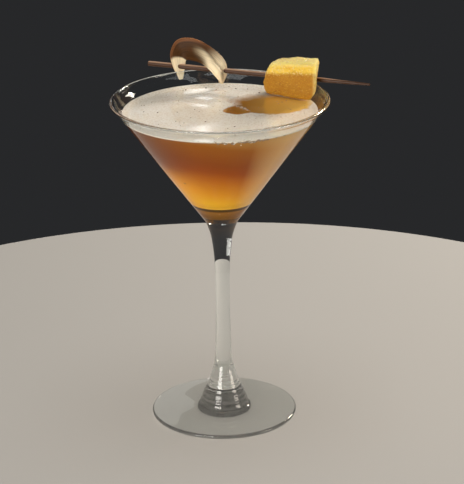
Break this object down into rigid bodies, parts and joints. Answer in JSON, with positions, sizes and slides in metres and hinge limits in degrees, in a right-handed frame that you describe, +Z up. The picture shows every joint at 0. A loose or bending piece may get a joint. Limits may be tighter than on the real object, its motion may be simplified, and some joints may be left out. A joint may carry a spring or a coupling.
{
  "type": "rum daiquiri in a cocktail glass",
  "caption": "Cloudy amber cocktail under pale foam in a stemmed conical glass, with a wooden pick across the rim holding candied ginger and a curl of peel.",
  "frame": {"origin": "middle of the foot's flat underside, on the axis of the glass", "axes": "+Z up along the axis of the glass; the pick lies at the back, at +Y, with its pointed end towards +X"},
  "size_m": [0.1369, 0.1222, 0.1939],
  "materials": {
    "clear_glass": "clear, polished, smooth",
    "cloudy_drink": "cloudy amber liquid, golden towards the bottom",
    "pale_foam": "thin wet foam, pale beige, with small bubbles and specks",
    "brown_wood": "smooth round stick, brown, satin",
    "candied_ginger": "yellow, translucent, grainy with sugar",
    "pale_rind": "cream flesh with reddish-brown skin, damp"
  },
  "bodies": {
    "root": {"glass": "clear_glass", "drink": "cloudy_drink", "foam": "pale_foam", "pick": "brown_wood", "candied_ginger": "candied_ginger", "peel_curl": "pale_rind"}
  },
  "joints": []
}
